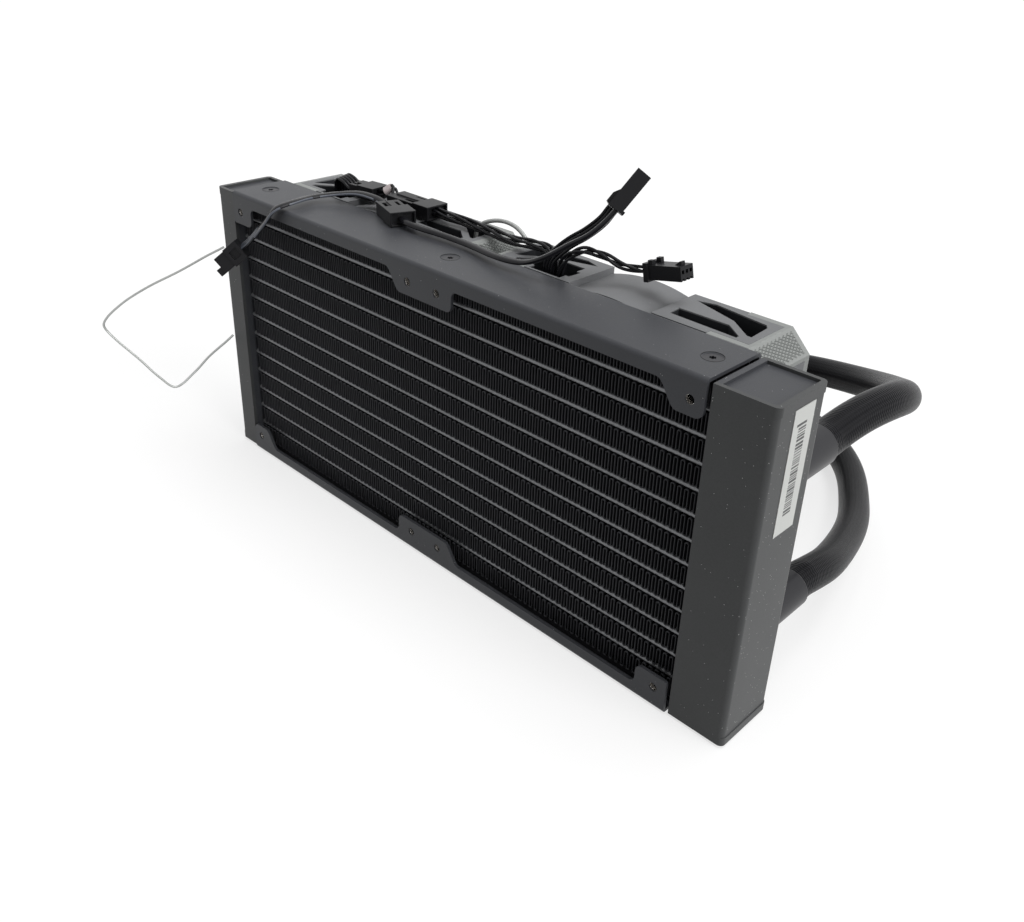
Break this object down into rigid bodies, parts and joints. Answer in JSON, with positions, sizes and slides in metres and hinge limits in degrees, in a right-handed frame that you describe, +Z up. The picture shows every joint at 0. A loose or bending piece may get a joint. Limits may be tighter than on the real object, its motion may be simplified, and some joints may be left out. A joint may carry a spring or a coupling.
{
  "type": "all in one cpu liquid cooler",
  "caption": "Closed loop liquid cooler: a black radiator with fans on grey corner pads, braided hoses, fan leads and a round pump head.",
  "frame": {"origin": "floor under the middle of the radiator, in the plane of its front face", "axes": "+X along the radiator towards the tank with the hoses, +Y from its front face to the fans, +Z up"},
  "size_m": [0.3007, 0.252, 0.1587],
  "materials": {
    "core_metal": "satin",
    "black_coat": "satin",
    "black_plastic": "satin",
    "grey_pad": "satin",
    "black_rubber": "matte",
    "braided_sleeve": "matte",
    "cable_jacket": "satin",
    "bare_wire": "satin",
    "dark_screws": "satin",
    "turned_steel": "satin",
    "bronze": "satin",
    "copper": "polished",
    "circuit_board": "satin",
    "white_label": "satin",
    "ceramic": "polished"
  },
  "bodies": {
    "root": {"core_tubes": "core_metal", "core_fins": "core_metal", "core_strips": "core_metal", "header_plates": "core_metal", "tank_left": "black_coat", "tank_right": "black_coat", "tank_caps": "black_coat", "tank_divider": "black_coat", "hose_nipples": "turned_steel", "side_plate_top": "black_coat", "side_plate_bottom": "black_coat", "side_plate_screws": "dark_screws", "tank_label": "white_label", "fan_left_frame": "black_plastic", "fan_left_pads": "grey_pad", "fan_right_frame": "black_plastic", "fan_right_pads": "grey_pad", "fan_bearings": "bronze", "fan_stators": "copper", "fan_circuit_boards": "circuit_board", "fan_screws": "dark_screws", "tank_collars": "black_rubber", "pump_collars": "black_rubber", "hose_upper": "braided_sleeve", "hose_lower": "braided_sleeve", "cold_plate": "copper", "plate_seal": "black_rubber", "pump_housing": "black_plastic", "pump_bracket": "turned_steel", "pump_can": "turned_steel", "impeller_shaft": "ceramic", "pump_stator": "copper", "pump_circuit_board": "circuit_board", "pump_cover": "black_plastic", "pump_trim_ring": "turned_steel", "pump_elbows": "black_plastic", "plug_four_pin": "black_plastic", "plug_three_pin": "black_plastic", "coupler_front": "black_plastic", "coupler_back": "black_plastic", "coupler_left": "black_plastic", "hanging_connector": "black_plastic", "lead_four_wire": "cable_jacket", "lead_three_wire": "cable_jacket", "link_cable": "black_rubber", "back_lead": "cable_jacket", "ribbon_lead": "black_rubber", "left_fan_leads": "cable_jacket", "loop_lead": "cable_jacket", "grey_wire": "grey_pad", "stiff_wire": "bare_wire"},
    "rotor_left": {"fan_left_hub": "black_plastic", "fan_left_blades": "black_plastic", "fan_left_rotor_ring": "turned_steel", "fan_left_shaft": "turned_steel"},
    "rotor_right": {"fan_right_hub": "black_plastic", "fan_right_blades": "black_plastic", "fan_right_rotor_ring": "turned_steel", "fan_right_shaft": "turned_steel"},
    "impeller": {"impeller": "black_plastic"}
  },
  "joints": [
    {"name": "fan_left_spin", "type": "hinge", "parent": "root", "child": "rotor_left", "pos_m": [-0.06, 0.027, 0.0605], "axis": [0, 1, 0], "continuous": true},
    {"name": "fan_right_spin", "type": "hinge", "parent": "root", "child": "rotor_right", "pos_m": [0.06, 0.027, 0.0605], "axis": [0, 1, 0], "continuous": true},
    {"name": "impeller_spin", "type": "hinge", "parent": "root", "child": "impeller", "pos_m": [-0.0845, 0.161, 0], "axis": [0, 0, 1], "continuous": true}
  ]
}
